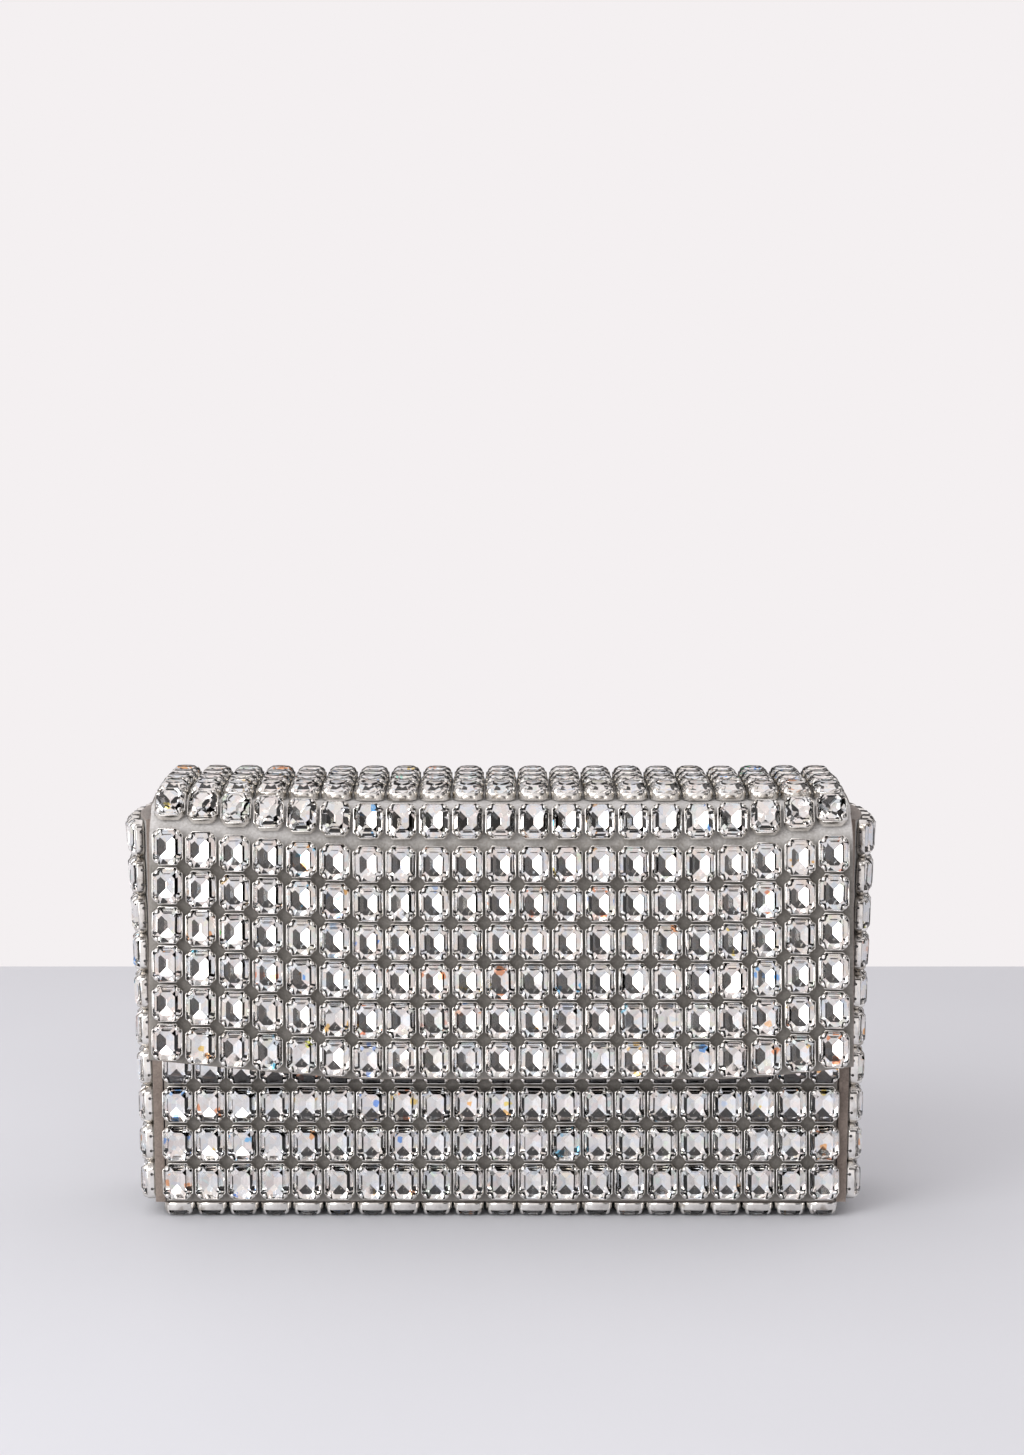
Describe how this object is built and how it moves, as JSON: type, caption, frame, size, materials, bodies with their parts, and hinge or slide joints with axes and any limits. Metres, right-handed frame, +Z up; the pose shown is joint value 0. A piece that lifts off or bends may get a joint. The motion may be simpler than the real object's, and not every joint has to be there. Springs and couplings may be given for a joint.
{
  "type": "minaudiere",
  "caption": "Flap clutch evening bag of boarded suede, every outer face set with rows of octagonal step-cut stones in clawed metal settings, closed by a magnetic snap.",
  "frame": {"origin": "centre of the bag's footprint, on the surface it stands on", "axes": "+X to the right as the flap is faced, +Y to the back, +Z up"},
  "size_m": [0.2168, 0.0714, 0.1244],
  "materials": {
    "suede": "napped grey suede",
    "board": "raw grey pulp board",
    "lining": "fine ribbed cloth",
    "snap_metal": "nickel plated",
    "setting_metal": "polished rhodium plate",
    "crystal": "foil-backed cut glass"
  },
  "bodies": {
    "body": {"front_cover": "suede", "front_board": "board", "front_lining": "lining", "back_cover": "suede", "back_board": "board", "back_lining": "lining", "bottom_cover": "suede", "bottom_board": "board", "bottom_lining": "lining", "gusset_left_cover": "suede", "gusset_left_board": "board", "gusset_left_lining": "lining", "gusset_right_cover": "suede", "gusset_right_board": "board", "gusset_right_lining": "lining", "slip_pocket": "lining", "snap_socket": "snap_metal", "snap_socket_washer": "snap_metal", "front_crystals": "crystal", "back_crystals": "crystal", "gusset_left_crystals": "crystal", "gusset_right_crystals": "crystal", "bottom_crystals": "crystal", "bottom_end_crystals": "crystal"},
    "flap_top": {"flap_top_cover": "suede", "flap_top_board": "board", "flap_top_lining": "lining", "back_fold": "suede", "front_fold": "suede", "flap_top_crystals": "crystal"},
    "flap_front": {"flap_front_cover": "suede", "flap_front_lining": "lining", "snap_stud": "snap_metal", "snap_stud_washer": "snap_metal", "flap_front_settings": "setting_metal", "flap_front_stones": "crystal"}
  },
  "joints": [
    {"name": "flap_hinge", "type": "hinge", "parent": "body", "child": "flap_top", "pos_m": [0, 0.02954, 0.11835], "axis": [-1, 0, 0], "range_deg": [0, 165]},
    {"name": "flap_fold", "type": "hinge", "parent": "flap_top", "child": "flap_front", "pos_m": [0, -0.01886, 0.11637], "axis": [-1, 0, 0], "range_deg": [0, 25]}
  ]
}
